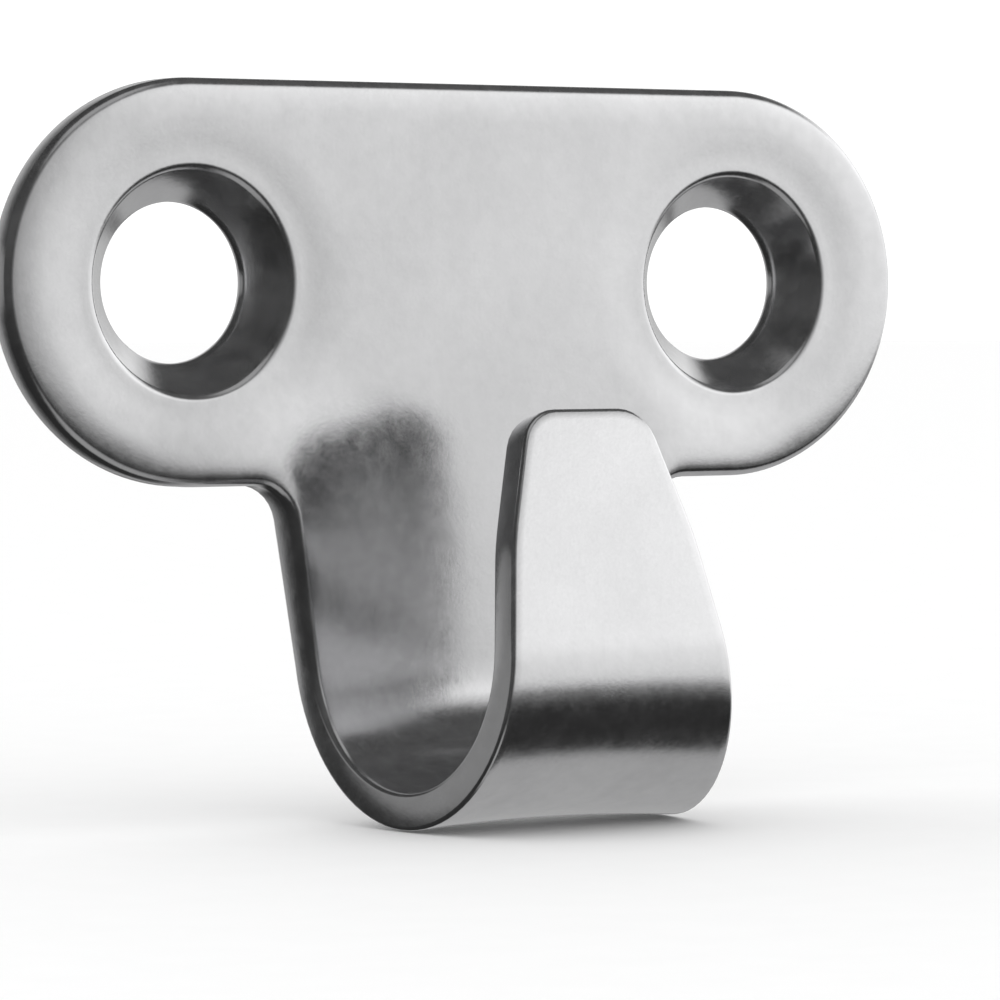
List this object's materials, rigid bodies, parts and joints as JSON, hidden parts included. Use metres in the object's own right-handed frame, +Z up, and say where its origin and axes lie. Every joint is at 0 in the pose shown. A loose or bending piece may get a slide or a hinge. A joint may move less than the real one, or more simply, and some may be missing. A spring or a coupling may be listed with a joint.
{
  "type": "lacing hook",
  "caption": "Pressed stainless-steel lacing hook: a round-ended plate with countersunk screw seats and an upturned hook that holds a lashing line or shock cord.",
  "frame": {"origin": "on the mounting plane, midway between the two screw holes", "axes": "+Z up when it is fitted to a wall with the hook at the bottom, +X along the plate, -Y out of the mounting surface towards the user"},
  "size_m": [0.0372, 0.0114, 0.026],
  "materials": {
    "stainless_steel": "satin"
  },
  "bodies": {
    "root": {"base_plate": "stainless_steel", "hook_shank": "stainless_steel", "hook_bend": "stainless_steel", "hook_lip": "stainless_steel"}
  },
  "joints": []
}
